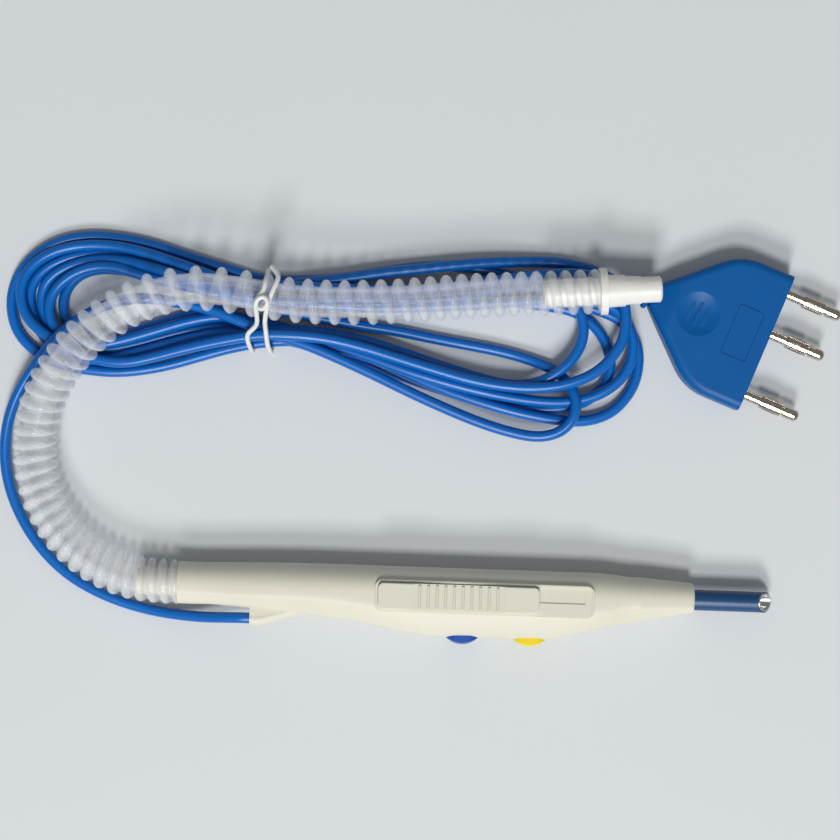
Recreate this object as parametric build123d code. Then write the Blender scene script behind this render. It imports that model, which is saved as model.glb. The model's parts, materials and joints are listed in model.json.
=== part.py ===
from build123d import *
import math
import os

# Electrosurgical pencil with smoke evacuation, lying on a table with its hose, cable and plug.
# Millimetres. +X runs along the pencil to its tip, +Z is up, and the buttons face -Y.
# The origin is on the table under the middle of the pencil.

# Handle: heights are measured from the pencil's axis, stations from the handle's rear face.
# A station follows the handle's length, counted in parts of STATION.
BODY_LENGTH = 134.0
STATION = BODY_LENGTH / 134
NOSE_LENGTH = 15.5
WALL = 1.4
FIT = 0.1
REAR_R = 6.1
BARREL_S = 10 * STATION
BARREL_SWELL = 0.7
BACK = 6.8
SIDE = 6.9
KEEL = 13.1
SCOOP_S = 44 * STATION
SCOOP_DEPTH = 8.8
RISE_SWELL = -0.2
HUMP_REAR_S = 72 * STATION
HUMP_FRONT_S = 107 * STATION
BROW_S = 114 * STATION
BROW_DEPTH = 11.8
CHIN_S = 120.7 * STATION
CHIN_DEPTH = 9.8
NECK_S = 127 * STATION
NECK_BACK = 6.0
NECK_KEEL = 6.7
NECK_SIDE = 6.1
NOSE_R = 4.75
NOSE_KEEL = 3.8
NOSE_CHAMFER = 0.4
KEEL_SQUARENESS = 2.4
SECTION_COUNT = 6
KEEL_FLOOR = 3.7

# Locating pegs between the two half shells
PEG_STATIONS = (53 * STATION, 116 * STATION)
PEG_R = 0.8
PEG_BOSS_R = 1.5
PEG_LENGTH = 2.0
PEG_HEIGHT = 3.7

# Slide track and thumb slider on the front half; the track is open towards the buttons
SLIDE_TRAVEL = 15.0
TRACK_REAR_S = 57.9 * STATION
TRACK_LINE = -1.2
SLIDER_LENGTH = 46.4 * STATION
SLIDER_WIDTH = 7.6
SLIDER_HEIGHT = 1.9
SLIDER_CORNER = 1.6
SLIDER_EDGE = 0.35
TRACK_GAP = 0.2
TRACK_DEPTH = 0.5
PAD_RIM = 0.7
PAD_RISE = 0.6
PAD_EDGE = 0.25
CHANNEL_FRONT_S = 117.8 * STATION
CHANNEL_LOW = -1.9
CHANNEL_DEPTH = 0.35
SLOT_WIDTH = 1.0
SLOT_COVER = 1.2
FIN_LENGTH = 12.0
DISH_LENGTH = 27.0
DISH_DEPTH = 1.0
DISH_RIB_LENGTH = 6.6
DISH_RIBS = 10
DISH_RIB_PITCH = 2.5
DISH_RIB_R = 0.45

# Electrode and its carriage
CARRIAGE_LENGTH = 24.0
CARRIAGE_HEEL = 2.3
CARRIAGE_TOP = 2.4
CARRIAGE_BOTTOM = -3.4
CARRIAGE_FRONT_Z = 3.4
CARRIAGE_BACK_Z = -2.6
CARRIAGE_CHAMFER = 0.6
FIN_SEAT_DEPTH = 1.6
RAIL_WIDTH = 0.9
SHANK_R = 1.2
SHANK_SEAT = 18.0
SLEEVE_R = 1.65
BLADE_LENGTH = 14.0
BLADE_WIDTH = 2.4
BLADE_THICK = 0.6
BLADE_RECESS = 1.5

# Suction tube
TUBE_R = 3.0
INSULATION_WALL = 0.4
TUBE_WALL = 0.4
TUBE_REACH = 23.5
TUBE_SEAT = 9.0
TUBE_TAIL = 3.0
MOUTH_SLANT = 4.8
MOUTH_LIP = 0.3

# Nose cone inside: collar in the handle's mouth, hollow, and a spider that steadies the electrode
COLLAR_LENGTH = 5.0
COLLAR_WALL = 1.0
COLLAR_PLAY = 0.15
NOSE_HOLLOW = 6.5
THROAT_STEP = 0.4
GUIDE_WALL = 0.9
GUIDE_LENGTH = 4.0
GUIDE_INSET = 0.5
GUIDE_SPOKES = 3
GUIDE_SPOKE_WIDTH = 0.8

# Hose spigot in the handle's rear wall
SPIGOT_REACH = 12.0
SPIGOT_R = 3.8
SPIGOT_BORE = 2.7
SPIGOT_BARBS = 3
BARB_RISE = 0.35
BARB_LAND = 0.4
SPIGOT_FLANGE = 1.6
FLANGE_PLAY = 0.4

# Buttons, snap domes, switch board and contacts
BUTTON_STATIONS = {"coag": 82.7 * STATION, "cut": 102.2 * STATION}
BUTTON_LENGTH = 9.6
BUTTON_WIDTH = 6.0
BUTTON_PROUD = 2.1
BUTTON_TRAVEL = 0.8
BUTTON_GAP = 0.15
BUTTON_FLANGE = 1.0
BUTTON_FLANGE_RIM = 0.8
PLUNGER_R = 1.2
PLUNGER_LENGTH = 0.8
DOME_R = 2.5
DOME_RISE = 0.45
DOME_PLAY = 0.1
BOARD_THICK = 1.0
BOARD_REAR_S = 74 * STATION
BOARD_LENGTH = 38 * STATION
BOARD_GROOVE = 0.4
STRIP_REAR_S = 79 * STATION
STRIP_LENGTH = 30 * STATION
STRIP_WIDTH = 3.0
STRIP_THICK = 0.3
LEAF_THICK = 0.3
LEAF_LENGTH = 9.0
LEAF_WIDTH = 2.4
LEAF_GAP = 0.12

# Cable and the boss it leaves the handle by
CABLE_D = 3.2
BOSS_S = 21 * STATION
BOSS_COLLAR = 3.0
BOSS_R = 2.15
BOSS_OFFSET = 9.75
BOSS_RUNOUT_S = 37 * STATION
BOSS_RUNOUT_DEPTH = 6.0
BOSS_RUNOUT_R = 1.9
BOSS_WEB_HALF = 2.0
CABLE_SEAT = 3.0
CONDUCTOR_BORE_R = 1.5
CONDUCTOR_D = 0.9
CONDUCTOR_PITCH = 0.95
CONDUCTOR_LAP = 3.0
CONDUCTOR_BEND = 12.0
CONDUCTOR_RUN = 8.0

# Smoke hose and its connector
HOSE_D = 13.0
HOSE_BORE_R = 3.95
CONNECTOR_AT = (38.2, 92.4, 13.9)
CONNECTOR_TURN = 4.2
CONNECTOR_FLANGE_R = 6.8
CONNECTOR_FLANGE = 2.1
CONNECTOR_BARB = 16.0
CONNECTOR_STEP_RADII = (4.75, 4.2, 3.75)
CONNECTOR_STEP_LENGTHS = (5.2, 4.6, 5.9)
CONNECTOR_DRAFT = 0.2
CONNECTOR_EDGE = 0.5
CONNECTOR_BORE = 2.5

# Plug: its own axes run from the middle of the pin face, u along the pins and v across
PLUG_AT = (87.4, 79.4)
PLUG_TURN = -21.0
PLUG_LENGTH = 36.0
PLUG_HALF = 21.0
PLUG_THICK = 11.0
PLUG_SHOULDER = 16.4
PLUG_SHOULDER_R = 16.0
PLUG_TAIL_HALF = 3.0
PLUG_TAIL_R = 2.9
PLUG_TAIL_THICK = 6.6
PLUG_TAPER = 7.0
PLUG_RIDGE_R = 8.0
PLUG_EDGE = 2.4
PLUG_DISH_R = 6.4
PLUG_DISH_DEPTH = 1.0
PLUG_DISH_BACK = 21.6
PANEL_BACK = 7.85
PANEL_LENGTH = 7.9
PANEL_WIDTH = 15.5
PANEL_CORNER = 1.0
PANEL_GROOVE = 0.4
PANEL_DEPTH = 0.25
PLUG_GRIP_RIBS = 3
PLUG_GRIP_PITCH = 2.3
PLUG_GRIP_WIDTH = 0.9
PLUG_GRIP_RISE = 0.35
BOOT_LENGTH = 7.0
BOOT_R = 2.6
BOOT_RING_R = 4.3
BOOT_RING_TAPER = 0.7
BOOT_RING = 1.7
BOOT_RING_PITCH = 3.0
BOOT_RINGS = 2
BOOT_RING_EDGE = 0.7
PIN_ACROSS = (15.9, 3.2, -15.85)
PIN_R = 2.0
PIN_SHANK_R = 1.45
PIN_SHANK = 5.6
PIN_SPRING = 6.4
PIN_NECK = 0.8
PIN_TIP = 4.6
PIN_TIP_R = 1.7
PIN_NOSE = 1.4
PIN_SEAT = 9.0
PIN_CORE_R = 1.3
PIN_FIT = 0.05
SPRING_WALL = 0.4
SPRING_BAND = 1.1
SPRING_SLOTS = 5
SPRING_SLOT_WIDTH = 0.45

# Hank of cable and its twist tie
HANK_HEIGHT = 6.4
HANK_EDGE = 2.0
TIE_D = 1.5

# Where the handle's rear face was when the points on the table were taken
LAID_REAR_X = -80.5

# Values that follow from the ones above
HANDLE_LENGTH = BODY_LENGTH + NOSE_LENGTH
TIP_S = HANDLE_LENGTH + TUBE_REACH
REAR_X = SPIGOT_REACH - (SPIGOT_REACH + TIP_S) / 2
AXIS_Y = (KEEL + BUTTON_PROUD - BACK) / 2
AXIS_Z = SIDE
LAND = KEEL - KEEL_FLOOR
PAD_TOP = SIDE + PAD_RISE
TRACK_FLOOR = PAD_TOP - TRACK_DEPTH
TRACK_LENGTH = SLIDER_LENGTH + SLIDE_TRAVEL + 2 * TRACK_GAP
TRACK_WIDTH = SLIDER_WIDTH + 2 * TRACK_GAP
FIN_FRONT_S = TRACK_REAR_S + TRACK_GAP + SLIDER_LENGTH - SLIDE_TRAVEL - SLOT_COVER
CARRIAGE_REAR_S = FIN_FRONT_S - FIN_LENGTH - CARRIAGE_HEEL
BOARD_FACE = LAND - FIT - BUTTON_FLANGE - PLUNGER_LENGTH - BUTTON_TRAVEL - DOME_PLAY - DOME_RISE
BOARD_TOP = BOARD_FACE - BOARD_THICK
STEEL_R = TUBE_R - INSULATION_WALL
FAR = 400.0
OVERCUT = 1.0
ARC_SHARE = 0.45


def at(s, y=0.0, z=0.0):
    """A point given by its station from the rear face and its place about the pencil's axis."""
    return Vector(REAR_X + s, AXIS_Y + y, AXIS_Z + z)


def laid(x, y, z=0.0):
    """A point on the table, which keeps its place from the handle's rear face."""
    return Vector(x + REAR_X - LAID_REAR_X, y, z)


def across(s, y=0.0, z=0.0):
    """A sketch plane square to the pencil, local x along +Y and local y along +Z."""
    return Plane(origin=at(s, y, z), x_dir=(0, 1, 0), z_dir=(1, 0, 0))


def rod(s, length, radius, y=0.0, z=0.0):
    """A round bar along the pencil."""
    return extrude(across(s, y, z) * Circle(radius), length)


def block(s0, s1, y0, y1, z0, z1):
    """A box between two corners given about the pencil's axis."""
    middle = at((s0 + s1) / 2, (y0 + y1) / 2, (z0 + z1) / 2)
    return Pos(*middle) * Box(s1 - s0, y1 - y0, z1 - z0)


def stations():
    """Outer form of the handle: station, back, keel, half width and keel power of each section."""
    return [
        (0.0, REAR_R, REAR_R, REAR_R, 2.0),
        (BARREL_S, REAR_R, REAR_R, REAR_R, 2.0),
        (BOSS_S, (REAR_R + BACK) / 2, REAR_R + BARREL_SWELL, (REAR_R + SIDE) / 2, 2.0),
        (SCOOP_S, BACK, SCOOP_DEPTH, SIDE, 2.0),
        ((SCOOP_S + HUMP_REAR_S) / 2, BACK, (SCOOP_DEPTH + KEEL) / 2 + RISE_SWELL, SIDE, KEEL_SQUARENESS),
        (HUMP_REAR_S, BACK, KEEL, SIDE, KEEL_SQUARENESS),
        ((HUMP_REAR_S + HUMP_FRONT_S) / 2, BACK, KEEL, SIDE, KEEL_SQUARENESS),
        (HUMP_FRONT_S, BACK, KEEL, SIDE, KEEL_SQUARENESS),
        (BROW_S, BACK, BROW_DEPTH, SIDE, KEEL_SQUARENESS),
        (CHIN_S, BACK, CHIN_DEPTH, SIDE, KEEL_SQUARENESS),
        (NECK_S, (BACK + NECK_BACK) / 2, (CHIN_DEPTH + NECK_KEEL) / 2, (SIDE + NECK_SIDE) / 2, 2.0),
        (BODY_LENGTH, NECK_BACK, NECK_KEEL, NECK_SIDE, 2.0),
    ]


def section(s, back, keel, half, power=2.0):
    """One section: a half ellipse over the axis, and a keel under it that a power makes squarer."""
    def half_line(height, power):
        line = []
        for i in range(SECTION_COUNT + 1):
            turn = math.pi * i / SECTION_COUNT
            c = math.cos(turn)
            z = math.copysign(abs(c) ** (2 / power), c) * half
            line.append(at(s, height * math.sin(turn) ** (2 / power), z))
        return line

    over = half_line(back, 2.0)
    under = half_line(-keel, power)[::-1]
    upper = Spline(*over, tangents=[(0, 1, 0), (0, -1, 0)])
    lower = Spline(*under, tangents=[(0, -1, 0), (0, 1, 0)])
    return make_face([upper, lower])


def body_form(inset):
    """The handle's form drawn in by an inset, over its whole length."""
    return loft([section(s, b - inset, k - inset, h - inset, p) for s, b, k, h, p in stations()])


def rounded_plate(s0, length, y, width, z0, height, corner, edge):
    """A plate lying on the front of the handle, with round corners and a softened top edge."""
    middle = Plane(origin=at(s0 + length / 2, y, z0), x_dir=(1, 0, 0), z_dir=(0, 0, 1))
    plate = extrude(middle * RectangleRounded(length, width, corner), height)
    if edge > 0:
        plate = fillet(plate.faces().sort_by(Axis.Z)[-1].edges(), edge)
    return plate


def boss_run(radius, end_radius):
    """A straight collar round the cable, then a slope up into the handle."""
    collar = rod(BOSS_S, BOSS_COLLAR, radius, -BOSS_OFFSET)
    foot = across(BOSS_S + BOSS_COLLAR, -BOSS_OFFSET) * Circle(radius)
    head = across(BOSS_RUNOUT_S, -BOSS_RUNOUT_DEPTH) * Circle(end_radius)
    return collar + loft([make_face(foot.edges()), make_face(head.edges())])


def boss_web():
    """Plate that closes the gap between the boss and the barrel."""
    side = Plane(origin=at(0, 0, -BOSS_WEB_HALF), x_dir=(1, 0, 0), z_dir=(0, 0, 1))
    outline = Polyline((BOSS_S, WALL - REAR_R), (BOSS_S, -BOSS_OFFSET), (BOSS_S + BOSS_COLLAR, -BOSS_OFFSET),
                       (BOSS_RUNOUT_S, -BOSS_RUNOUT_DEPTH), (BOSS_RUNOUT_S, WALL - REAR_R), close=True)
    return extrude(side * make_face(outline), 2 * BOSS_WEB_HALF)


def button_prism(name, inset, y0, y1):
    """The oval of a button, drawn out along Y between two depths."""
    oval = Plane(origin=at(BUTTON_STATIONS[name], y0), x_dir=(1, 0, 0), z_dir=(0, 1, 0))
    outline = SlotOverall(BUTTON_LENGTH - 2 * inset, BUTTON_WIDTH - 2 * inset)
    return extrude(oval * outline, y1 - y0)


def cavity():
    """The hollow inside the handle, with a flat land over the buttons and a solid rear wall."""
    hollow = body_form(WALL) & block(SPIGOT_FLANGE, BODY_LENGTH + OVERCUT, -LAND, FAR, -FAR, FAR)
    return hollow + boss_run(CONDUCTOR_BORE_R, CONDUCTOR_BORE_R)


def handle_shells():
    """Front and back half shells, parted on the plane through the buttons."""
    outer = body_form(0.0)
    pad_length = TRACK_LENGTH + 2 * PAD_RIM
    pad_width = TRACK_WIDTH + 2 * PAD_RIM
    pad = rounded_plate(TRACK_REAR_S - PAD_RIM, pad_length, TRACK_LINE, pad_width, 0,
                        PAD_TOP, SLIDER_CORNER + PAD_RIM, PAD_EDGE)
    hollow = cavity()
    body = outer + boss_run(BOSS_R, BOSS_RUNOUT_R) + boss_web() - hollow
    body -= rod(-OVERCUT, SPIGOT_FLANGE + 2 * OVERCUT, SPIGOT_R + FIT / 2)
    body -= rod(BOSS_S - OVERCUT, CABLE_SEAT + OVERCUT, CABLE_D / 2 + FIT / 2, -BOSS_OFFSET)
    for name in BUTTON_STATIONS:
        body -= button_prism(name, -BUTTON_GAP, -KEEL - OVERCUT, -LAND + OVERCUT)
    half_board = board_half() + FIT / 2
    groove = block(BOARD_REAR_S - FIT, BOARD_REAR_S + BOARD_LENGTH + FIT,
                   -BOARD_FACE - FIT / 2, -BOARD_TOP + FIT / 2, -half_board, half_board)

    front = body & block(-FAR, FAR, -FAR, FAR, 0, FAR)
    front += pad & block(0, BODY_LENGTH, -FAR, FAR, SIDE / 2, FAR) - hollow
    open_side = PAD_RIM + SLIDER_CORNER + OVERCUT
    track = rounded_plate(TRACK_REAR_S, TRACK_LENGTH, TRACK_LINE - open_side / 2, TRACK_WIDTH + open_side,
                          TRACK_FLOOR, SIDE, SLIDER_CORNER, 0)
    channel = block(FIN_FRONT_S + SLIDE_TRAVEL, CHANNEL_FRONT_S, CHANNEL_LOW, TRACK_LINE + TRACK_WIDTH / 2,
                    TRACK_FLOOR - CHANNEL_DEPTH, FAR)
    slot_rear = FIN_FRONT_S - FIN_LENGTH - 2 * FIT
    slot_front = FIN_FRONT_S + SLIDE_TRAVEL + 2 * FIT
    slot = block(slot_rear, slot_front, TRACK_LINE - SLOT_WIDTH / 2, TRACK_LINE + SLOT_WIDTH / 2,
                 SIDE / 2, FAR)
    front = front - track - channel - slot - groove

    back = body & block(-FAR, FAR, -FAR, FAR, -FAR, 0)
    rail_rear = CARRIAGE_REAR_S - OVERCUT
    rail_front = CARRIAGE_REAR_S + CARRIAGE_LENGTH + SLIDE_TRAVEL + OVERCUT
    high = CARRIAGE_TOP + 2 * FIT
    low = CARRIAGE_BOTTOM - 2 * FIT
    rails = block(rail_rear, rail_front, high, high + RAIL_WIDTH, -SIDE, 0)
    rails += block(rail_rear, rail_front, low - RAIL_WIDTH, low, -SIDE, -CARRIAGE_FRONT_Z / 2)
    inner = body_form(WALL / 2)
    back = back + (rails & inner) - groove

    for s in PEG_STATIONS:
        boss = extrude(Plane(at(s, PEG_HEIGHT)) * Circle(PEG_BOSS_R), SIDE, both=True) & inner
        front += boss & block(-FAR, FAR, -FAR, FAR, 0, FAR)
        back += boss & block(-FAR, FAR, -FAR, FAR, -FAR, 0)
        back += extrude(Plane(at(s, PEG_HEIGHT)) * Circle(PEG_R), PEG_LENGTH)
        front -= extrude(Plane(at(s, PEG_HEIGHT)) * Circle(PEG_R + FIT / 2), PEG_LENGTH + FIT)
    return front, back


def board_half():
    """Half width of the switch board: the hollow's width at its depth plus the grooves."""
    depth = (BOARD_FACE + BOARD_TOP) / 2
    share = 1 - (depth / (KEEL - WALL)) ** KEEL_SQUARENESS
    return (SIDE - WALL) * share ** (1 / KEEL_SQUARENESS) + BOARD_GROOVE


def nose_cone():
    """Nose cone with a collar in the handle's mouth and a three-spoke guide for the electrode."""
    root = section(BODY_LENGTH, NECK_BACK, NECK_KEEL, NECK_SIDE)
    tip = section(HANDLE_LENGTH, NOSE_R, NOSE_KEEL, NOSE_R)
    rim_r = NOSE_R - NOSE_CHAMFER
    bevel = Cone(rim_r + NOSE_LENGTH, rim_r, NOSE_LENGTH, align=(Align.CENTER, Align.CENTER, Align.MAX))
    cone = loft([root, tip]) & Pos(*at(HANDLE_LENGTH)) * Rot(0, 90, 0) * bevel
    inset = WALL + COLLAR_PLAY
    collar_s = BODY_LENGTH - COLLAR_LENGTH
    collar = section(collar_s, NECK_BACK - inset, NECK_KEEL - inset, NECK_SIDE - inset)
    collar = extrude(collar, COLLAR_LENGTH + OVERCUT, dir=(1, 0, 0))
    cone += collar
    lip = inset + COLLAR_WALL
    mouth = section(collar_s, NECK_BACK - lip, NECK_KEEL - lip, NECK_SIDE - lip)
    step_r = TUBE_R + THROAT_STEP
    throat = section(BODY_LENGTH + NOSE_HOLLOW, step_r, step_r, step_r)
    hollow = loft([mouth, throat])
    cone = cone - hollow
    cone -= rod(BODY_LENGTH + NOSE_HOLLOW - OVERCUT, NOSE_LENGTH + OVERCUT, TUBE_R + FIT / 2)

    guide_s = collar_s + GUIDE_INSET
    hole = SLEEVE_R + FIT
    spokes = rod(guide_s, GUIDE_LENGTH, hole + GUIDE_WALL)
    for i in range(GUIDE_SPOKES):
        arm = Box(GUIDE_LENGTH, GUIDE_SPOKE_WIDTH, 2 * SIDE, align=(Align.MIN, Align.CENTER, Align.MIN))
        spokes += Pos(*at(guide_s)) * Rot(360 * i / GUIDE_SPOKES, 0, 0) * arm
    inset += COLLAR_WALL / 2
    rim = section(collar_s, NECK_BACK - inset, NECK_KEEL - inset, NECK_SIDE - inset)
    cone += spokes & extrude(rim, COLLAR_LENGTH, dir=(1, 0, 0))
    return cone - rod(guide_s - OVERCUT, GUIDE_LENGTH + 2 * OVERCUT, hole)


def mouth_cut():
    """Everything past the slanted mouth, which faces forward and up."""
    low = at(TIP_S, 0, -TUBE_R)
    high = at(TIP_S - MOUTH_SLANT, 0, TUBE_R)
    slope = Vector(high.X - low.X, 0, high.Z - low.Z)
    face = Plane(origin=low, x_dir=slope, z_dir=(2 * TUBE_R, 0, MOUTH_SLANT))
    return extrude(face * Rectangle(FAR, FAR), FAR)


def suction_tube():
    """Steel tube, its mouth standing a lip proud of the insulation."""
    rear = HANDLE_LENGTH - TUBE_SEAT - TUBE_TAIL
    tube = rod(rear, TIP_S - rear + OVERCUT, STEEL_R) - rod(rear - OVERCUT, FAR, STEEL_R - TUBE_WALL)
    return tube - mouth_cut()


def tube_insulation():
    """Blue insulating sleeve on the steel tube."""
    rear = HANDLE_LENGTH - TUBE_SEAT
    sleeve = rod(rear, TIP_S - rear + OVERCUT, TUBE_R) - rod(rear - OVERCUT, FAR, STEEL_R)
    return sleeve - Pos(-MOUTH_LIP, 0, 0) * mouth_cut()


def hose_spigot():
    """Barbed spigot whose flange sits behind the rear wall."""
    spigot = rod(-SPIGOT_REACH, SPIGOT_REACH + SPIGOT_FLANGE, SPIGOT_R)
    spigot += rod(SPIGOT_FLANGE, SPIGOT_FLANGE, REAR_R - WALL - FLANGE_PLAY)
    pitch = (SPIGOT_REACH - 1) / SPIGOT_BARBS
    for i in range(SPIGOT_BARBS):
        s = i * pitch - SPIGOT_REACH
        spigot += Pos(*at(s + pitch / 2)) * Rot(0, 90, 0) * Cone(
            SPIGOT_R - BARB_RISE, SPIGOT_R + BARB_RISE, pitch)
    return spigot - rod(-SPIGOT_REACH - OVERCUT, SPIGOT_REACH + 2 * (SPIGOT_FLANGE + OVERCUT), SPIGOT_BORE)


def thumb_slider():
    """Slider plate with a ribbed dish right across, and the fin that goes down through the slot."""
    rear = TRACK_REAR_S + TRACK_GAP
    foot = TRACK_FLOOR + FIT
    plate = rounded_plate(rear, SLIDER_LENGTH, TRACK_LINE, SLIDER_WIDTH, foot,
                          SLIDER_HEIGHT, SLIDER_CORNER, SLIDER_EDGE)
    top = foot + SLIDER_HEIGHT
    dish_s = rear + SLIDER_LENGTH / 2
    radius = ((DISH_LENGTH / 2) ** 2 + DISH_DEPTH ** 2) / (2 * DISH_DEPTH)
    roller = Pos(*at(dish_s, TRACK_LINE, top - DISH_DEPTH + radius)) * Rot(90, 0, 0) * Cylinder(
        radius, SLIDER_WIDTH + OVERCUT)
    plate -= roller
    ribs = []
    for i in range(DISH_RIBS):
        along = (i - (DISH_RIBS - 1) / 2) * DISH_RIB_PITCH
        floor = top - DISH_DEPTH + radius - math.sqrt(radius ** 2 - along ** 2)
        ribs.append(Pos(*at(dish_s + along, TRACK_LINE, floor)) * Rot(90, 0, 0) * Cylinder(
            DISH_RIB_R, DISH_RIB_LENGTH))
    plate = plate.fuse(*ribs)
    half_fin = SLOT_WIDTH / 2 - FIT
    fin = block(FIN_FRONT_S - FIN_LENGTH, FIN_FRONT_S, TRACK_LINE - half_fin, TRACK_LINE + half_fin,
                CARRIAGE_FRONT_Z - FIN_SEAT_DEPTH, foot + SLIDER_HEIGHT / 4)
    return plate + fin


def electrode_carriage():
    """Carriage with a groove for the slider's fin and a socket for the electrode's shank."""
    front = CARRIAGE_REAR_S + CARRIAGE_LENGTH
    body = block(CARRIAGE_REAR_S, front, CARRIAGE_BOTTOM, CARRIAGE_TOP, CARRIAGE_BACK_Z, CARRIAGE_FRONT_Z)
    body = chamfer(body.edges().filter_by(Axis.Z), CARRIAGE_CHAMFER)
    half_groove = SLOT_WIDTH / 2 - FIT / 2
    body -= block(FIN_FRONT_S - FIN_LENGTH - FIT, FIN_FRONT_S + FIT, TRACK_LINE - half_groove,
                  TRACK_LINE + half_groove, CARRIAGE_FRONT_Z - FIN_SEAT_DEPTH - FIT, CARRIAGE_FRONT_Z + OVERCUT)
    return body - rod(front - SHANK_SEAT, SHANK_SEAT + OVERCUT, SHANK_R)


def electrode_front():
    """Station of the blade's tip at rest, just inside the near edge of the mouth."""
    return TIP_S - MOUTH_SLANT - BLADE_RECESS


def electrode_blade():
    """Steel shank drawn out to a flat blade with a round end."""
    rear = CARRIAGE_REAR_S + CARRIAGE_LENGTH - SHANK_SEAT
    heel = electrode_front() - BLADE_LENGTH
    shank = rod(rear, heel - rear + OVERCUT, SHANK_R)
    middle = Plane(at(heel + BLADE_LENGTH / 2, 0, -BLADE_THICK / 2))
    blade = extrude(middle * SlotOverall(BLADE_LENGTH, BLADE_WIDTH), BLADE_THICK)
    return shank + blade


def electrode_sleeve():
    """Insulating sleeve on the shank, from the carriage to the blade."""
    rear = CARRIAGE_REAR_S + CARRIAGE_LENGTH
    front = electrode_front() - BLADE_LENGTH - 1
    return rod(rear, front - rear, SLEEVE_R) - rod(rear - OVERCUT, front - rear + 2 * OVERCUT, SHANK_R)


def button(name):
    """Domed oval button with a flange inside the handle and a plunger over its snap dome."""
    inner = -LAND + FIT
    radius = ((BUTTON_LENGTH / 2) ** 2 + BUTTON_PROUD ** 2) / (2 * BUTTON_PROUD)
    crown = Pos(*at(BUTTON_STATIONS[name], radius - KEEL - BUTTON_PROUD)) * Sphere(radius)
    root = button_prism(name, 0, -KEEL, inner + BUTTON_FLANGE)
    cap = button_prism(name, 0, -KEEL - BUTTON_PROUD - OVERCUT, -KEEL) & crown
    flange = button_prism(name, -BUTTON_FLANGE_RIM, inner, inner + BUTTON_FLANGE)
    stem = Plane(origin=at(BUTTON_STATIONS[name], inner + BUTTON_FLANGE), x_dir=(1, 0, 0), z_dir=(0, 1, 0))
    return root + cap + flange + extrude(stem * Circle(PLUNGER_R), PLUNGER_LENGTH)


def snap_dome(name):
    """Shallow metal dome on the switch board under a button."""
    radius = (DOME_R ** 2 + DOME_RISE ** 2) / (2 * DOME_RISE)
    ball = Pos(*at(BUTTON_STATIONS[name], -BOARD_FACE - DOME_RISE + radius)) * Sphere(radius)
    return ball & block(0, BODY_LENGTH, -BOARD_FACE - OVERCUT, -BOARD_FACE,
                        -DOME_R - OVERCUT, DOME_R + OVERCUT)


def switch_board():
    """Switch board held in grooves of both half shells."""
    half = board_half()
    return block(BOARD_REAR_S, BOARD_REAR_S + BOARD_LENGTH, -BOARD_FACE, -BOARD_TOP, -half, half)


def contact_strip():
    """Brass strip on the board, which the carriage's leaf slides along."""
    return block(STRIP_REAR_S, STRIP_REAR_S + STRIP_LENGTH, -BOARD_TOP, -BOARD_TOP + STRIP_THICK,
                 -STRIP_WIDTH / 2, STRIP_WIDTH / 2)


def contact_leaf():
    """Bent spring leaf under the carriage."""
    rear = CARRIAGE_REAR_S + CARRIAGE_LENGTH / 2 - LEAF_LENGTH / 2
    low = -BOARD_TOP + STRIP_THICK + LEAF_GAP
    root = (rear, CARRIAGE_BOTTOM)
    heel = (rear + LEAF_LENGTH / 3, CARRIAGE_BOTTOM)
    toe = (rear + LEAF_LENGTH * 0.8, low)
    tip = (rear + LEAF_LENGTH, low + LEAF_THICK)
    side = Plane(origin=at(0, 0, -LEAF_WIDTH / 2), x_dir=(1, 0, 0), z_dir=(0, 0, 1))
    outline = Polyline(root, heel, (toe[0], toe[1] + LEAF_THICK), tip, (tip[0], tip[1] - LEAF_THICK), toe,
                       (heel[0], heel[1] - LEAF_THICK), (root[0], root[1] - LEAF_THICK), close=True)
    return extrude(side * make_face(outline), LEAF_WIDTH)


def route_radii(points):
    """The largest arc that each corner of a route has room for."""
    radii = []
    for before, here, after in zip(points, points[1:], points[2:]):
        turn = math.radians((here - before).get_angle(after - here))
        shorter = min((here - before).length, (after - here).length)
        radii.append(ARC_SHARE * shorter / math.tan(turn / 2))
    return radii


def tube_along(name, points, radius, bore=0.0, radii=None):
    """A tube on straight runs and tangent arcs, with its radii and volume printed."""
    points = [Vector(*p) for p in points]
    if len(points) > 2:
        radii = radii or route_radii(points)
        path = FilletPolyline(*points, radius=radii)
    else:
        radii = []
        path = Line(*points)
    ring = Circle(radius) - Circle(bore) if bore else Circle(radius)
    tube = sweep(Plane(origin=path @ 0, z_dir=path % 0) * ring, path=path)
    ideal = math.pi * (radius ** 2 - bore ** 2) * path.length
    print(name, "length", round(path.length, 1), "volume ratio", round(tube.volume / ideal, 4),
          "radii", [round(r, 1) for r in radii])
    return tube


def conductors():
    """Three insulated wires from the cable's end up to the switch board."""
    wires = {}
    start_s = BOSS_S + CABLE_SEAT
    lift = -BOARD_TOP + CONDUCTOR_D / 2 + FIT / 2
    for i, use in enumerate(("cut", "coag", "active")):
        z = (i - 1) * CONDUCTOR_PITCH
        points = [at(start_s, -BOSS_OFFSET, z), at(start_s + 2, -BOSS_OFFSET + 0.2, z),
                  at(BOSS_RUNOUT_S, -BOSS_RUNOUT_DEPTH, z), at(BOARD_REAR_S - CONDUCTOR_RUN, lift, z),
                  at(BOARD_REAR_S + CONDUCTOR_LAP, lift, z)]
        radii = [min(r, CONDUCTOR_BEND) for r in route_radii(points)]
        wires["conductor_" + use] = tube_along("conductor_" + use, points, CONDUCTOR_D / 2, radii=radii)
    return wires


def connector_plane():
    """Plane at the connector's flange, z along the connector to its free end."""
    turn = math.radians(CONNECTOR_TURN)
    return Plane(origin=laid(*CONNECTOR_AT), x_dir=(-math.sin(turn), math.cos(turn), 0),
                 z_dir=(math.cos(turn), math.sin(turn), 0))


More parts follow.
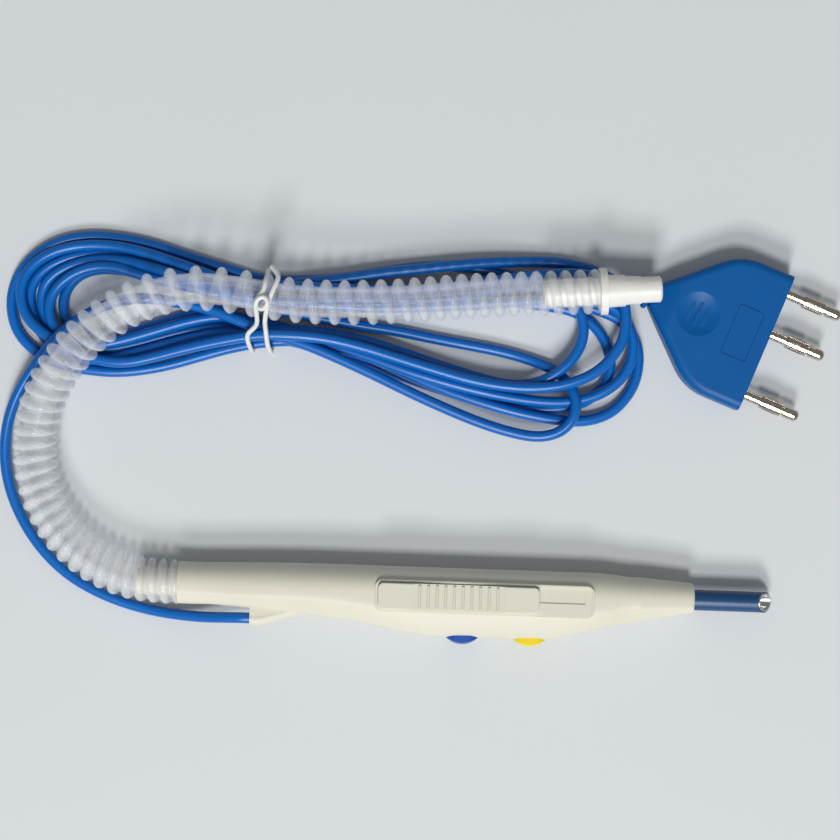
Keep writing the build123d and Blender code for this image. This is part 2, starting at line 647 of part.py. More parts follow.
def hose_connector():
    """White connector: barb in the hose, flange, and a nose that steps down to its free end."""
    barb_r = HOSE_BORE_R - FIT / 2
    profile = [(CONNECTOR_BORE, -CONNECTOR_BARB), (barb_r - BARB_RISE, -CONNECTOR_BARB)]
    pitch = CONNECTOR_BARB / SPIGOT_BARBS
    for i in range(SPIGOT_BARBS):
        end = (i + 1) * pitch - CONNECTOR_BARB
        profile += [(barb_r + BARB_RISE, end - BARB_LAND * pitch), (barb_r - BARB_RISE / 2, end - BARB_LAND * pitch)]
    profile += [(barb_r - BARB_RISE / 2, 0), (CONNECTOR_FLANGE_R, 0), (CONNECTOR_FLANGE_R, CONNECTOR_FLANGE)]
    along = CONNECTOR_FLANGE
    for radius, length in zip(CONNECTOR_STEP_RADII[:-1], CONNECTOR_STEP_LENGTHS[:-1]):
        profile += [(radius, along), (radius - CONNECTOR_DRAFT, along + length)]
        along += length
    end_r = CONNECTOR_STEP_RADII[-1]
    end = along + CONNECTOR_STEP_LENGTHS[-1]
    profile += [(end_r, along), (end_r, end - CONNECTOR_EDGE), (end_r - CONNECTOR_EDGE, end), (CONNECTOR_BORE, end)]
    outline = make_face(Polyline(*[(r, 0, a) for r, a in profile], close=True))
    return connector_plane().location * revolve(outline, Axis.Z)


def smoke_hose():
    """Plain hollow tube for the hose, from the handle's rear face to the connector's flange."""
    end = connector_plane()
    way = [(-102.9, 7.8, 6.8), (-112.6, 14.7, 6.6), (-119.7, 24.3, 6.6), (-123.5, 35.6, 6.8),
           (-123.7, 48.0, 8.2), (-119.8, 59.8, 11.2), (-112.8, 70.4, 14.4), (-103.4, 79.6, 16.4),
           (-92.2, 86.2, 16.8), (-79.6, 89.4, 16.8), (-66.4, 88.8, 16.6), (-53.4, 86.8, 16.2),
           (-38.0, 86.3, 15.2), (-19.0, 87.5, 14.2), (1.0, 90.0, 13.8)]
    points = [at(-FIT), at(1 - SPIGOT_REACH), *(laid(*p) for p in way),
              end.origin - CONNECTOR_BARB * end.z_dir, end.origin - FIT / 2 * end.z_dir]
    return tube_along("smoke_hose", points, HOSE_D / 2, HOSE_BORE_R)


def cable_lead():
    """Plain tube for the cable from the handle's boss round to the hank."""
    floor = CABLE_D / 2
    way = [(-76, -6.2, 3.6), (-91, -4.6, floor), (-104, -0.6, floor), (-115.5, 5.8, floor), (-125, 16.0, floor),
           (-131.5, 29.0, floor), (-133.2, 42.0, floor), (-131, 54.0, floor + 0.4), (-125, 65.0, 5.0),
           (-117.5, 75.5, 8.2), (-108, 82.5, 7.6), (-98, 86.0, 4.6)]
    points = [at(BOSS_S + CABLE_SEAT, -BOSS_OFFSET), at(BOSS_S - BOSS_COLLAR, -BOSS_OFFSET), *(laid(*p) for p in way)]
    return tube_along("cable_lead", points, CABLE_D / 2)


def plug_plane():
    """Plane at the middle of the pin face: x along the pins, y across the plug, z up."""
    turn = math.radians(PLUG_TURN)
    return Plane(origin=laid(*PLUG_AT, PLUG_THICK / 2),
                 x_dir=(math.cos(turn), math.sin(turn), 0), z_dir=(0, 0, 1))


def plug_body():
    """Moulded plug: fan-shaped grip that thins to the tail, thumb dishes, bare panel and ringed boot."""
    half = PLUG_THICK / 2
    outline = FilletPolyline((0, PLUG_HALF), (-PLUG_SHOULDER, PLUG_HALF), (-PLUG_LENGTH, PLUG_TAIL_HALF),
                             (-PLUG_LENGTH, -PLUG_TAIL_HALF), (-PLUG_SHOULDER, -PLUG_HALF), (0, -PLUG_HALF),
                             radius=[PLUG_SHOULDER_R, PLUG_TAIL_R, PLUG_TAIL_R, PLUG_SHOULDER_R])
    base = make_face(outline.edges() + [Line((0, -PLUG_HALF), (0, PLUG_HALF))])
    grip = extrude(Pos(0, 0, -half) * base, PLUG_THICK)
    tail = PLUG_TAIL_THICK / 2
    taper_start = PLUG_LENGTH - PLUG_TAPER
    side = make_face(Polyline((1, -half), (1, half), (-taper_start, half), (-PLUG_LENGTH - 1, tail),
                              (-PLUG_LENGTH - 1, -tail), (-taper_start, -half), close=True))
    wedge = extrude(Plane.XZ * side, PLUG_HALF + 1, both=True)
    ridges = [e for e in wedge.edges().filter_by(Axis.Y) if abs(e.center().X + taper_start) < 0.01]
    grip &= fillet(ridges, PLUG_RIDGE_R)
    flats = [f for f in grip.faces() if abs(f.normal_at(f.center()).Z) > 0.8]
    rims = [e for e in grip.edges() if e.center().X < -0.01 and sum(e in f.edges() for f in flats) == 1]
    grip = fillet(rims, PLUG_EDGE)

    for up in (1, -1):
        face = Plane((-PLUG_DISH_BACK, 0, up * half), z_dir=(0, 0, up))
        ball_r = (PLUG_DISH_R ** 2 + PLUG_DISH_DEPTH ** 2) / (2 * PLUG_DISH_DEPTH)
        grip -= face * Pos(0, 0, ball_r - PLUG_DISH_DEPTH) * Sphere(ball_r)
        for i in range(PLUG_GRIP_RIBS):
            across_dish = (i - (PLUG_GRIP_RIBS - 1) / 2) * PLUG_GRIP_PITCH
            length = 1.5 * math.sqrt(PLUG_DISH_R ** 2 - across_dish ** 2)
            rib = Box(PLUG_GRIP_WIDTH, length, 2 * PLUG_DISH_DEPTH)
            grip += face * Pos(across_dish, 0, PLUG_GRIP_RISE - 2 * PLUG_DISH_DEPTH) * rib

    panel = RectangleRounded(PANEL_LENGTH, PANEL_WIDTH, PANEL_CORNER)
    panel -= RectangleRounded(PANEL_LENGTH - 2 * PANEL_GROOVE, PANEL_WIDTH - 2 * PANEL_GROOVE,
                              PANEL_CORNER - PANEL_GROOVE)
    grip -= extrude(Pos(-PANEL_BACK, 0, half - PANEL_DEPTH) * panel, PANEL_DEPTH + OVERCUT)

    back = Plane(origin=(-PLUG_LENGTH, 0, 0), x_dir=(0, 1, 0), z_dir=(-1, 0, 0))
    boot = extrude(back * Pos(0, 0, -1) * Circle(BOOT_R), BOOT_LENGTH + 1)
    for i in range(BOOT_RINGS):
        ring_r = BOOT_RING_R - i * BOOT_RING_TAPER
        ring = extrude(back * Pos(0, 0, i * BOOT_RING_PITCH) * Circle(ring_r), BOOT_RING)
        boot += fillet(ring.edges().filter_by(GeomType.CIRCLE), BOOT_RING_EDGE)
    grip += boot
    grip -= extrude(back * Pos(0, 0, 1) * Circle(CABLE_D / 2), BOOT_LENGTH)
    for v in PIN_ACROSS:
        socket = Plane(origin=(-PIN_SEAT, v, 0), z_dir=(1, 0, 0))
        grip -= extrude(socket * Circle(PIN_SHANK_R), PIN_SEAT + 1)
    return plug_plane().location * grip


def plug_pin(v):
    """Turned pin: shank in the plug, slim core under the spring, a bare neck and a round-ended tip."""
    tip_start = PIN_SHANK + PIN_SPRING + PIN_NECK
    end = tip_start + PIN_TIP
    flat = PIN_TIP_R - PIN_NOSE
    outline = make_face([
        Polyline((end - PIN_NOSE, PIN_TIP_R), (tip_start, PIN_TIP_R), (tip_start, PIN_CORE_R),
                 (PIN_SHANK, PIN_CORE_R), (PIN_SHANK, PIN_SHANK_R), (-PIN_SEAT, PIN_SHANK_R), (-PIN_SEAT, 0),
                 (end, 0), (end, flat)),
        RadiusArc((end, flat), (end - PIN_NOSE, PIN_TIP_R), -PIN_NOSE)])
    pin = revolve(Plane(origin=(0, v, 0)) * outline, Axis((0, v, 0), (1, 0, 0)))
    return plug_plane().location * pin


def pin_spring(v):
    """Lantern spring on a pin: a sleeve with end bands and long slots between its strips."""
    start = PIN_SHANK + PIN_FIT
    length = PIN_SPRING - 2 * PIN_FIT
    socket = Plane(origin=(start, v, 0), z_dir=(1, 0, 0))
    sleeve = extrude(socket * (Circle(PIN_R) - Circle(PIN_R - SPRING_WALL)), length)
    sleeve += extrude(socket * (Circle(PIN_R) - Circle(PIN_CORE_R + PIN_FIT)), SPRING_BAND / 2)
    cut = Box(PIN_R * 2, SPRING_SLOT_WIDTH, length - 2 * SPRING_BAND, align=(Align.MIN, Align.CENTER, Align.MIN))
    for i in range(SPRING_SLOTS):
        sleeve -= socket * Pos(0, 0, SPRING_BAND) * Rot(0, 0, 360 * i / SPRING_SLOTS) * cut
    return plug_plane().location * sleeve


def cable_tail():
    """Plain tube for the cable from the hank up into the plug's boot."""
    plug = plug_plane()
    seat = plug.from_local_coords((-PLUG_LENGTH - 1, 0, 0))
    mouth = plug.from_local_coords((-PLUG_LENGTH - BOOT_LENGTH - 6, 0, 0))
    way = [(-57, 91.6, 3.2), (-43, 93.6, 2.4), (-26, 96.6, 1.6), (-6, 100.4, 1.6), (14, 101.9, 1.6),
           (29, 100.4, 2.4)]
    return tube_along("cable_tail", [*(laid(*p) for p in way), mouth, seat], CABLE_D / 2)


def cable_hank():
    """One closed solid round the loops of the hank, drawn in at the tie and open in each lobe."""
    edge = [(-133.4, 82.0), (-127, 98.0), (-108, 105.0), (-84, 99.5), (-60, 91.6), (-36, 92.5), (-8, 97.0),
            (18, 97.5), (40, 92.0), (51.5, 77.0), (44, 62.0), (23, 50.8), (-8, 57.5), (-34, 68.0),
            (-59, 74.0), (-84, 69.0), (-108, 65.2), (-126, 72.0)]
    left = [(-117, 83.0), (-110, 92.0), (-95, 93.0), (-80, 86.5), (-98, 79.5)]
    right = [(-26, 82.5), (-12, 85.0), (8, 86.0), (28, 85.0), (33, 77.0), (20, 70.5), (2, 73.0), (-14, 78.0)]

    def slab(outline):
        line = Spline(*(laid(*p) for p in outline), periodic=True)
        return extrude(make_face(line), HANK_HEIGHT)

    bundle = slab(edge)
    rims = bundle.faces().filter_by(Axis.Z).edges()
    return fillet(rims, HANK_EDGE) - slab(left) - slab(right)


def twist_tie():
    """Coated wire taken twice round the hank and the hose, with its tails left standing."""
    low = TIE_D / 2
    way = [(-55.2, 97.5, 15.5), (-54.0, 94.8, 20.0), (-55.2, 88.0, 24.0), (-56.6, 80.5, 21.0),
           (-56.9, 77.0, 13.0), (-56.2, 72.4, 6.0), (-56.4, 72.6, low), (-57.2, 83.0, low), (-57.8, 94.0, low),
           (-57.6, 95.2, 9.0), (-57.6, 95.0, 19.0), (-58.2, 88.0, 24.2), (-59.6, 80.6, 21.0),
           (-61.4, 76.5, 12.0), (-61.0, 72.4, 6.0), (-60.6, 73.0, low + TIE_D), (-60.0, 84.0, low + TIE_D)]
    return tube_along("twist_tie", [laid(*p) for p in way], TIE_D / 2)


def build():
    """All sub-parts by node name."""
    front, back = handle_shells()
    parts = {
        "handle_shell_front": front,
        "handle_shell_back": back,
        "nose_cone": nose_cone(),
        "hose_spigot": hose_spigot(),
        "suction_tube": suction_tube(),
        "tube_insulation": tube_insulation(),
        "thumb_slider": thumb_slider(),
        "electrode_carriage": electrode_carriage(),
        "electrode_blade": electrode_blade(),
        "electrode_sleeve": electrode_sleeve(),
        "contact_leaf": contact_leaf(),
        "contact_strip": contact_strip(),
        "switch_board": switch_board(),
        "smoke_hose": smoke_hose(),
        "hose_connector": hose_connector(),
        "cable_lead": cable_lead(),
        "cable_hank": cable_hank(),
        "cable_tail": cable_tail(),
        "plug_body": plug_body(),
        "twist_tie": twist_tie(),
    }
    for name in BUTTON_STATIONS:
        parts["button_" + name] = button(name)
        parts["snap_dome_" + name] = snap_dome(name)
    parts.update(conductors())
    for number, v in enumerate(PIN_ACROSS, start=1):
        parts["plug_pin_" + str(number)] = plug_pin(v)
        parts["pin_spring_" + str(number)] = pin_spring(v)
    return parts


os.makedirs("parts", exist_ok=True)
for node, shape in build().items():
    export_step(shape, os.path.join("parts", node + ".step"))
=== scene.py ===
"""Looks for an electrosurgical pencil that lies with its smoke hose, tied cable and pin plug.

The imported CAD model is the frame. Lengths in the tables are millimetres in that frame:
+X runs along the pencil to its tip, +Z is up and the push buttons face -Y.
"""
from __future__ import annotations

import json
import logging
import math
from dataclasses import dataclass, field
from enum import Enum

import bpy
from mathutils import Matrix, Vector

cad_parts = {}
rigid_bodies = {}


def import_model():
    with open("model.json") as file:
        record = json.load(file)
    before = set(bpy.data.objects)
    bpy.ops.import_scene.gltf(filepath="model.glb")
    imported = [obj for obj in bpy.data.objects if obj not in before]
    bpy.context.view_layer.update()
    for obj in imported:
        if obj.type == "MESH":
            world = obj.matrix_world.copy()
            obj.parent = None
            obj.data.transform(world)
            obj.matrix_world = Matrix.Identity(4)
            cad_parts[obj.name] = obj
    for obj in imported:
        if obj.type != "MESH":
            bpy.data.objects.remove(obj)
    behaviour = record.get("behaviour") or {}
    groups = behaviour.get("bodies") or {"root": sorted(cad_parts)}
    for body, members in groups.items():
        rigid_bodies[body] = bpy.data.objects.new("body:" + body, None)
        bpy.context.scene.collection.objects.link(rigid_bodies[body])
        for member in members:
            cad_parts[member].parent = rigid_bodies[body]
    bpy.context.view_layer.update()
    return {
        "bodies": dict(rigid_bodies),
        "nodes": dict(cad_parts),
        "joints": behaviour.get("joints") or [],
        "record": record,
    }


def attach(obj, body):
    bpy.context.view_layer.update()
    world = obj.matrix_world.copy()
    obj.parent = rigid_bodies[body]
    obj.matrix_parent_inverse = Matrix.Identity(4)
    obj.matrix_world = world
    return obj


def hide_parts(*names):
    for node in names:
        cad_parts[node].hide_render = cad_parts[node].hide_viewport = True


LOG = logging.getLogger("pencil")
MM = 0.001
BEAD_HEIGHT = "bead_height"

# The sRGB curve: a straight foot, then a power
SRGB_FOOT = 0.04045
SRGB_SLOPE = 12.92
SRGB_OFFSET = 0.055
SRGB_POWER = 2.4

# Sockets of the colour mix node by number, because their names repeat
MIX_FACTOR = 0
MIX_FIRST = 6
MIX_SECOND = 7
MIX_COLOUR = 2

# Finer layers in the noise of the soft patches and of the grain
PATCH_DETAIL = 3.0
GRAIN_DETAIL = 2.0
# Even fall-off from a surface seen square on to one seen edge on
EVEN_BLEND = 0.5
# How far light spreads under a skin
SUBSURFACE_MM = 2.0

# NURBS order of a route, and bevel resolution of a round wire
ROUTE_ORDER = 3
WIRE_ROUNDNESS = 4
# Slack for rounding errors in a walk along a line, in metres
ROUNDING = 1e-12

Point = tuple[float, float, float]


class Body(Enum):
    """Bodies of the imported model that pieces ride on."""

    HANDLE = "handle"


class Slot(Enum):
    """Material slots of the record for the hose, the cable and the tie."""

    HOSE = "clear_pvc"
    CABLE = "blue_pvc"
    TIE = "white_tie"


# The cable in its order, as control points. Right and left are the ends of the hank where a stretch turns
CABLE_STRETCHES: dict[str, tuple[Point, ...]] = {
    "lead": (
        (-56.5, -5.55, 6.9), (-60, -5.55, 6.9), (-63, -5.55, 6.9), (-76, -6.2, 3.6), (-91, -4.6, 1.6),
        (-104, -0.6, 1.7), (-115.5, 5.8, 2), (-125, 16, 2.6), (-131.5, 29, 3.6), (-133.3, 41.9, 4.8),
        (-131.1, 53.9, 6.3), (-125.1, 64.8, 8), (-117.6, 75.3, 8.5), (-108.1, 82.4, 7.8),
    ),
    "right_low": (
        (-99.4, 85.8, 7.2), (-92, 86.4, 6.9), (-84.1, 85.5, 6.8), (-76.5, 84.3, 7.1), (-68.2, 81.7, 7.6),
        (-59.9, 78.4, 7.7), (-51, 75.8, 7.7), (-43.6, 73.7, 7.8), (-27.9, 67.3, 7.2), (-12.4, 60.3, 6.6),
        (3.1, 54.2, 6.2), (13.7, 51.1, 6.1), (22.54, 49.7, 6.4), (29.02, 51.5, 6.9), (32.71, 55.8, 7.6),
        (33.28, 61.1, 7.3), (31.07, 66, 5.3), (26.89, 69.5, 3.1), (22.05, 71.6, 2), (16.2, 73.4, 1.6),
        (9.4, 74.9, 1.6), (0.9, 76.2, 1.6), (-9.1, 77.7, 1.6), (-20, 79.6, 1.7), (-30, 80.7, 2.1),
        (-40.9, 82.3, 2.7), (-51.2, 83.8, 3.6), (-59.5, 84.9, 4.8),
    ),
    "left_inner": (
        (-67.4, 87, 5.2), (-76.3, 89.5, 4.6), (-86, 91.1, 4.6), (-95.5, 93.3, 4.9), (-101.81, 95.08, 5.3),
        (-107.31, 95.34, 5.2), (-112.44, 94, 4.9), (-117.01, 91.2, 4.5), (-120.14, 87.8, 4.2),
        (-121.66, 83.8, 4.1), (-121.09, 79.3, 4.3), (-118.43, 75.8, 4.3), (-113.39, 73, 4.3),
        (-106.46, 72.3, 4.3), (-98.2, 74.3, 4.3), (-89.5, 77.2, 4.2), (-81.4, 79.9, 4.2),
        (-73.2, 81.8, 3.9), (-65.3, 81.8, 3.3), (-58.8, 80.4, 2.6),
    ),
    "right_outer": (
        (-50.7, 78.8, 2.1), (-41.8, 76.7, 2.6), (-31.7, 73.4, 3.4), (-19.8, 68.3, 4), (-8.3, 63.7, 4.4),
        (3.2, 60.1, 4.6), (14.7, 57.1, 4.5), (26.5, 55.1, 3.7), (35.5, 54.7, 2.7), (42.95, 57, 2.1),
        (47.87, 61.7, 1.7), (50.82, 67.4, 1.6), (51.56, 74.2, 1.6), (50.25, 79.4, 1.6), (47.46, 83.4, 1.6),
        (44.02, 85.9, 1.6), (39.6, 87.5, 1.6), (32.2, 90, 1.6), (22.4, 93.8, 1.6), (11.3, 97.5, 1.6),
        (-0.5, 99.3, 1.6), (-12.2, 98.9, 1.6), (-24.2, 96.8, 1.6), (-37.1, 94.2, 1.6), (-48.8, 93.2, 1.6),
        (-59.9, 93, 1.6),
    ),
    "left_outer": (
        (-69.1, 95.77, 1.6), (-77.3, 97.89, 1.6), (-85.4, 100.36, 1.6), (-93.7, 102.73, 1.6),
        (-101.81, 103.92, 1.6), (-109.12, 104.35, 1.6), (-115.77, 103.5, 1.6), (-121.28, 101.63, 1.6),
        (-126.79, 97.97, 1.6), (-131.06, 92.7, 1.6), (-133.06, 86.5, 1.6), (-132.78, 80.3, 1.6),
        (-130.59, 74.7, 1.6), (-125.74, 69.9, 1.6), (-117.77, 66, 1.6), (-108.83, 64.9, 1.6),
        (-101.04, 64.6, 1.6), (-92.3, 65.8, 1.6), (-84.2, 67.8, 1.8), (-76.3, 70.4, 2.2), (-68.2, 72.9, 3),
        (-59.2, 74.8, 4),
    ),
    "right_fourth": (
        (-49.5, 75.7, 4.6), (-39.8, 74.9, 5.5), (-27.9, 71.7, 6.5), (-16.4, 67.8, 6.8), (-3.9, 64.5, 6.5),
        (8.1, 62, 5.8), (19, 60.5, 4.9), (28.7, 60.1, 4.4), (36.9, 61.5, 4.4), (43.12, 64.7, 4.6),
        (47.54, 69.3, 4.6), (49.59, 75.2, 4.7), (48.94, 81.4, 4.7), (45.9, 86.5, 4.5), (40.82, 89.8, 4.4),
        (32.8, 90.8, 4), (23.4, 90.1, 4.2), (10.3, 88.6, 4.5), (-7.2, 87.1, 4.1), (-24.8, 85.9, 4),
        (-42.4, 86.2, 4), (-54.2, 87.3, 4.6), (-59.6, 88.3, 5.6),
    ),
    "left_bright": (
        (-69.5, 91.9, 5.9), (-79.5, 95.42, 5.5), (-87.7, 97.97, 4.7), (-95.7, 100.27, 4.1),
        (-103.71, 101.55, 3.8), (-111.4, 101.55, 3.6), (-117.96, 100.27, 3.5), (-123.94, 97.55, 3.7),
        (-128.21, 93.4, 3.9), (-130.02, 88.7, 4.1), (-129.74, 84, 4.2), (-127.74, 79.6, 4.6),
        (-124.42, 76.4, 5.1), (-119.95, 73.5, 5.5), (-113.21, 70, 5.8), (-105.22, 67.5, 6),
        (-97.3, 67.4, 6.4), (-89.4, 69.5, 7), (-81.3, 71.9, 8), (-70.6, 74.6, 9.2), (-59, 76.8, 10.4),
    ),
    "right_bright": (
        (-49.4, 76.9, 10.6), (-39.1, 76.2, 9.9), (-28.5, 73.9, 9.3), (-18.5, 71.1, 8.8), (-8.2, 68.3, 8.4),
        (2.1, 65.7, 8.1), (11.1, 64.3, 8), (20.5, 63.9, 8.1), (30, 65.2, 8.3), (38, 68.7, 8.2),
        (42.95, 73.5, 7.9), (46.15, 78.9, 7.8), (46.89, 84.7, 7.7), (45.9, 90.5, 7.5), (42.62, 95.2, 7.8),
        (36.7, 97.6, 7.4), (26.9, 97.8, 7), (12.5, 95.7, 6.7), (-7.7, 92.2, 6.5), (-25.1, 91, 6.8),
        (-42.5, 91.1, 6.9), (-59.4, 91.5, 5.3),
    ),
    "left_middle": (
        (-70.4, 92.4, 2.8), (-80.7, 94.5, 1.9), (-91.1, 97.04, 1.6), (-98.6, 98.74, 1.6),
        (-105.98, 99.76, 1.6), (-113.21, 98.83, 1.6), (-119.86, 96.53, 1.6), (-124.7, 93.2, 1.6),
        (-127.36, 89.1, 1.6), (-127.84, 84.7, 1.6), (-126.6, 79.9, 1.6), (-123.94, 75.2, 1.9),
        (-119.67, 71.1, 2.2), (-112.83, 68.1, 2.5), (-104.94, 67.9, 2.7), (-97, 70.2, 3.1),
        (-89.1, 72.6, 3.4), (-81, 75, 3.7), (-73.4, 76.8, 4.1), (-65.6, 77.7, 4.5), (-59.2, 78.1, 4.8),
    ),
    "right_first": (
        (-50.9, 78.7, 5.2), (-39.8, 78.1, 5.2), (-28, 76.1, 4.8), (-16.5, 72.7, 4.3), (-4.2, 69, 4.1),
        (6.4, 66.1, 4.2), (14.3, 64.6, 4.6), (21.3, 65.4, 5.3), (27, 68.3, 6.2), (31.5, 72.5, 6.5),
        (34.3, 77.5, 6.3), (34.7, 83.3, 6.4), (32.5, 89, 6.5), (27.4, 92.8, 6), (20.4, 93.9, 5.3),
        (11.3, 93, 5.1), (-1.7, 89.6, 5.6), (-19.2, 88.4, 6.1), (-36.7, 88, 6.6), (-48.3, 87, 7.5),
        (-59.4, 86.6, 8.1),
    ),
    "left_dark": (
        (-69.1, 89.3, 7.8), (-79.4, 92.1, 6.8), (-91.1, 95.34, 5.4), (-100, 97.3, 4.1),
        (-107.51, 97.55, 3.4), (-114.92, 95.94, 3), (-120.99, 92.5, 2.6), (-123.94, 88.4, 2),
        (-124.32, 83.7, 1.6), (-122.8, 78.9, 1.6), (-119.38, 74.6, 1.6), (-113.49, 71.5, 1.6),
        (-105.7, 70.9, 1.6), (-96.5, 73, 1.6), (-89.2, 75.3, 1.6), (-82, 77.5, 1.6), (-73.9, 78.8, 1.6),
        (-66.1, 78.9, 1.6), (-59.7, 77.9, 1.6),
    ),
    "right_dark": (
        (-50.1, 75.3, 1.6), (-41.4, 73.9, 1.6), (-29.9, 70.4, 1.6), (-19.1, 66.7, 1.6), (-7.1, 63.1, 1.6),
        (4.9, 60, 1.6), (16.8, 58.2, 1.6), (28.1, 58.1, 1.6), (36.2, 60.4, 1.6), (40.8, 64.7, 1.6),
        (43.3, 69.5, 1.6), (43, 74.7, 1.6), (40.7, 80.1, 1.6), (36.6, 84.5, 1.6), (31.1, 87.5, 1.6),
        (22.9, 88.5, 1.6), (9.7, 89.8, 1.6), (-7.7, 89.1, 1.6), (-25.2, 88, 1.6), (-42.7, 88.6, 1.6),
        (-59.8, 89.8, 1.6),
    ),
    "left_last": (
        (-70.7, 89.5, 1.6), (-81.6, 91.3, 1.6), (-92.2, 93.2, 1.6), (-100.95, 94.8, 1.6),
        (-107.88, 94.8, 1.6), (-113.39, 92.8, 1.6), (-116.62, 89.1, 1.6), (-118.05, 84.6, 1.6),
        (-117.19, 80, 1.6), (-113.97, 76.3, 1.6), (-107.79, 74.5, 1.6), (-98.3, 76, 1.6),
        (-90.2, 78.9, 1.6), (-82, 81.7, 1.6), (-73.8, 83.9, 1.7), (-65.9, 87.2, 2.6),
    ),
    "tail": (
        (-57.7, 90.6, 3.4), (-48.4, 92.6, 4.1), (-36.8, 93.9, 4.8), (-24.6, 96.3, 4.9), (-13, 97.8, 5),
        (-1.9, 99.4, 4.8), (8.3, 100.5, 4.2), (17, 101.0, 3.4), (24.9, 101.3, 2.8), (32, 100.6, 2.8),
        (38.3, 98.9, 3.2),
    ),
    "boot": (
        (41.6, 97, 5.5), (47, 94.9, 5.5), (52.9, 92.7, 5.5),
    ),
}


def linear(code: str) -> tuple[float, float, float, float]:
    """Turn an sRGB hex colour into linear light.

    Args:
        code: Colour as "#RRGGBB".

    Returns:
        Red, green, blue and an alpha of 1.
    """
    levels = [int(code[i:i + 2], 16) / 255 for i in (1, 3, 5)]
    red, green, blue = (
        v / SRGB_SLOPE if v <= SRGB_FOOT else ((v + SRGB_OFFSET) / (1 + SRGB_OFFSET)) ** SRGB_POWER
        for v in levels)
    return red, green, blue, 1.0


def fill_sockets(tree: bpy.types.NodeTree, node: bpy.types.Node, sockets: dict[str | int, object]) -> None:
    """Give a node's inputs their values and links.

    Args:
        tree: Node tree that holds the node.
        node: Node to fill.
        sockets: Values or output sockets for the node's inputs, by name or number.
    """
    for key, value in sockets.items():
        if isinstance(value, bpy.types.NodeSocket):
            tree.links.new(value, node.inputs[key])
        else:
            node.inputs[key].default_value = value


def add_node(tree: bpy.types.NodeTree, kind: str, sockets: dict[str | int, object] | None = None,
             **settings: object) -> bpy.types.Node:
    """Add a shader node with its settings, socket values and links.

    Args:
        tree: Node tree that takes the node.
        kind: Blender's type name of the node.
        sockets: Values or output sockets for the node's inputs, by name or number.
        settings: Attributes of the node itself.

    Returns:
        The new node.
    """
    node = tree.nodes.new(kind)
    for key, value in settings.items():
        setattr(node, key, value)
    fill_sockets(tree, node, sockets or {})
    return node


@dataclass(frozen=True)
class ClearFilm:
    """Opacity of a clear wall that carries a bead.

    Attributes:
        wall: Opacity of the thin wall, square on.
        bead: What the bead's full height adds.
        rim: What a surface seen edge on adds.
        attribute: Vertex attribute with the bead's height, from 0 to 1.
    """

    wall: float
    bead: float
    rim: float
    attribute: str

    def opacity(self, tree: bpy.types.NodeTree) -> bpy.types.NodeSocket:
        """Add the nodes that work out the opacity.

        Args:
            tree: The material's nodes.

        Returns:
            The socket with the opacity.
        """
        facing = add_node(tree, "ShaderNodeLayerWeight", {"Blend": EVEN_BLEND}).outputs["Facing"]
        height = add_node(tree, "ShaderNodeAttribute", attribute_name=self.attribute).outputs["Fac"]
        total = self.wall
        for share, gain in ((height, self.bead), (facing, self.rim)):
            total = add_node(tree, "ShaderNodeMath", {0: share, 1: gain, 2: total},
                             operation="MULTIPLY_ADD", use_clamp=True).outputs[0]
        return total


@dataclass(frozen=True)
class Finish:
    """A real material and how its surface was made.

    Attributes:
        name: Common name of the material, with how it was made.
        colour: Main colour, sRGB hex.
        drift: Colour that the main one drifts to in soft patches, sRGB hex.
        roughness: Mean roughness.
        spread: How far the roughness wanders either way.
        patch_mm: Size of the soft patches.
        grain_mm: Size of the surface grain, drawn coarser than the real one, which is too fine to show.
        relief_mm: Depth of the surface grain.
        ior: Index of refraction.
        metallic: 1 for a bare metal.
        transmission: Share of light that goes through.
        subsurface: Share of light that spreads under the surface.
        film: How much a clear wall hides, or nothing for a solid.
    """

    name: str
    colour: str
    drift: str
    roughness: float
    spread: float = 0.06
    patch_mm: float = 9.0
    grain_mm: float = 0.5
    relief_mm: float = 0.01
    ior: float = 1.5
    metallic: float = 0.0
    transmission: float = 0.0
    subsurface: float = 0.0
    film: ClearFilm | None = None

    def build(self) -> bpy.types.Material:
        """Make the node material, or return it where it is made already.

        Returns:
            The material.
        """
        made = bpy.data.materials.get(self.name)
        if made is not None:
            return made
        material = bpy.data.materials.new(self.name)
        material.use_nodes = True
        tree = material.node_tree
        place = add_node(tree, "ShaderNodeTexCoord").outputs["Object"]
        patch, grain = (
            add_node(tree, "ShaderNodeTexNoise", {
                "Vector": place, "Scale": 1 / (size_mm * MM), "Detail": detail}).outputs["Fac"]
            for size_mm, detail in ((self.patch_mm, PATCH_DETAIL), (self.grain_mm, GRAIN_DETAIL)))
        mix = add_node(tree, "ShaderNodeMix", {
            MIX_FACTOR: patch, MIX_FIRST: linear(self.colour), MIX_SECOND: linear(self.drift),
        }, data_type="RGBA")
        rough = add_node(tree, "ShaderNodeMapRange", {
            "Value": grain, "To Min": self.roughness - self.spread, "To Max": self.roughness + self.spread})
        bump = add_node(tree, "ShaderNodeBump", {
            "Height": grain, "Strength": 1.0, "Distance": self.relief_mm * MM})
        sockets = {
            "Base Color": mix.outputs[MIX_COLOUR],
            "Roughness": rough.outputs["Result"],
            "Normal": bump.outputs["Normal"],
            "Metallic": self.metallic,
            "Transmission Weight": self.transmission,
            "Subsurface Weight": self.subsurface,
            "Subsurface Scale": SUBSURFACE_MM * MM,
        }
        if not self.metallic:
            sockets["IOR"] = self.ior
        if self.film is not None:
            sockets["Alpha"] = self.film.opacity(tree)
        fill_sockets(tree, tree.nodes["Principled BSDF"], sockets)
        return material


# Moulded ABS in ivory: an even satin skin with a faint spark-eroded grain
IVORY_ABS = Finish("moulded_ivory_abs", "#D7D4C4", "#D2CEBC", 0.52, ior=1.5, patch_mm=16, grain_mm=0.45,
                   relief_mm=0.006, subsurface=0.12)
